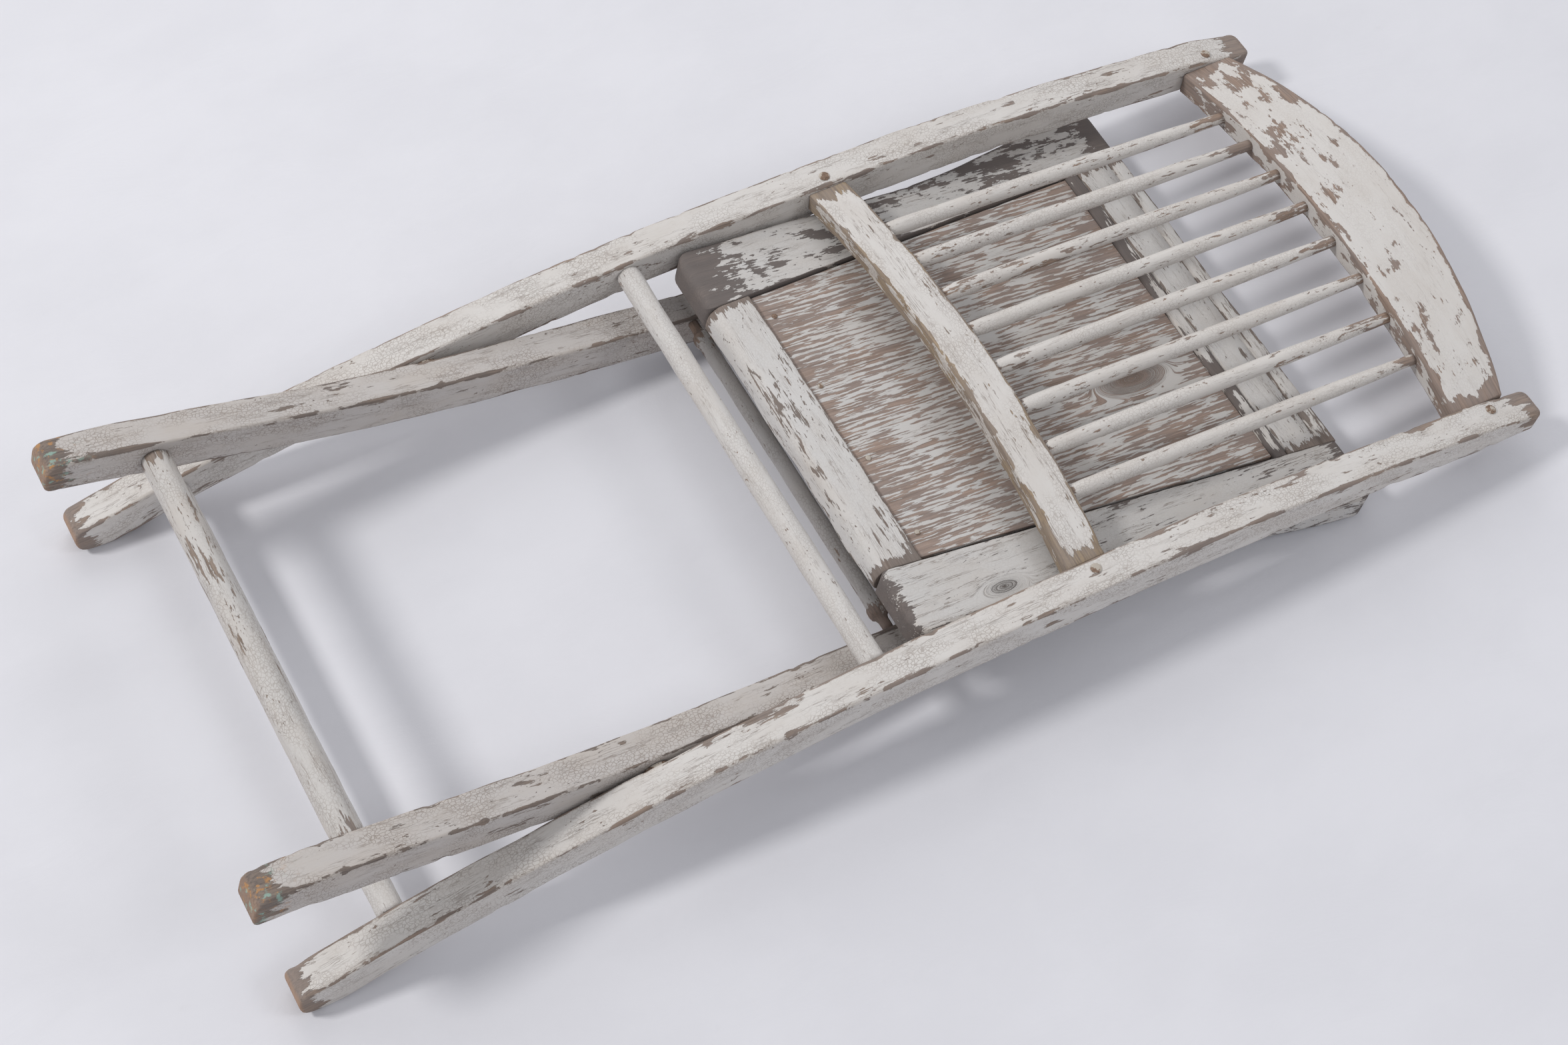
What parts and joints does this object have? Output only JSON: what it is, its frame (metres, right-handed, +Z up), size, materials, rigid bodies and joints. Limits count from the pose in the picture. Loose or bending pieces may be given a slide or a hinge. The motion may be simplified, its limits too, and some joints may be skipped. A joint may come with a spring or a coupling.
{
  "type": "folding chair",
  "caption": "Wooden folding garden chair, folded flat and face down: curved stiles with a spindle back, crossed legs and a framed board seat, in worn off-white paint.",
  "frame": {"origin": "centre of the folded chair's footprint, on the ground it lies on", "axes": "+X from the stile and leg feet towards the crest rail, +Y towards the sitter's left stile, +Z up, out of the back's rear face"},
  "size_m": [0.995, 0.41, 0.1409],
  "materials": {
    "painted_wood": "old off-white paint, crazed and flaking to grey-brown wood",
    "painted_rail": "thin worn off-white paint over grained wood",
    "worn_panel": "weathered wood with streaks of white paint left in the grain",
    "bare_wood": "weathered bare wood",
    "rusty_iron": "rusty"
  },
  "bodies": {
    "seat": {"seat_side_rail_left": "painted_rail", "seat_side_rail_right": "painted_rail", "seat_rear_rail": "painted_rail", "seat_front_rail": "painted_rail", "seat_bead": "bare_wood", "seat_panel": "worn_panel", "seat_batten_rear": "bare_wood", "seat_batten_front": "bare_wood", "leg_stop_left": "bare_wood", "leg_stop_right": "bare_wood", "panel_nail_1": "rusty_iron", "panel_nail_2": "rusty_iron", "panel_nail_3": "rusty_iron", "panel_nail_4": "rusty_iron"},
    "back_frame": {"stile_left": "painted_wood", "stile_right": "painted_wood", "crest_rail": "painted_wood", "lower_back_rail": "painted_wood", "spindle_1": "painted_wood", "spindle_2": "painted_wood", "spindle_3": "painted_wood", "spindle_4": "painted_wood", "spindle_5": "painted_wood", "spindle_6": "painted_wood", "spindle_7": "painted_wood", "spindle_8": "painted_wood", "upper_stretcher": "painted_wood", "stile_foot_stretcher": "painted_wood", "crest_screw_left": "rusty_iron", "crest_screw_right": "rusty_iron", "rail_screw_left": "rusty_iron", "rail_screw_right": "rusty_iron", "leg_pivot_pin_left": "rusty_iron", "leg_pivot_pin_right": "rusty_iron", "leg_pivot_washer_left": "rusty_iron", "leg_pivot_washer_right": "rusty_iron", "seat_pivot_pin_left": "rusty_iron", "seat_pivot_pin_right": "rusty_iron"},
    "leg_frame": {"leg_left": "painted_wood", "leg_right": "painted_wood", "leg_foot_stretcher": "painted_wood", "leg_top_rod": "painted_wood"}
  },
  "joints": [
    {"name": "back_fold", "type": "hinge", "parent": "seat", "child": "back_frame", "pos_m": [0.0155, 0, 0.06244], "axis": [0, -1, 0], "range_deg": [0, 98]},
    {"name": "leg_fold", "type": "hinge", "parent": "back_frame", "child": "leg_frame", "pos_m": [-0.2185, 0, 0.0578], "axis": [0, 1, 0], "range_deg": [0, 41.5]}
  ],
  "couplings": [
    {"joint": "leg_fold", "follows": "back_fold", "ratio": 0.42}
  ]
}
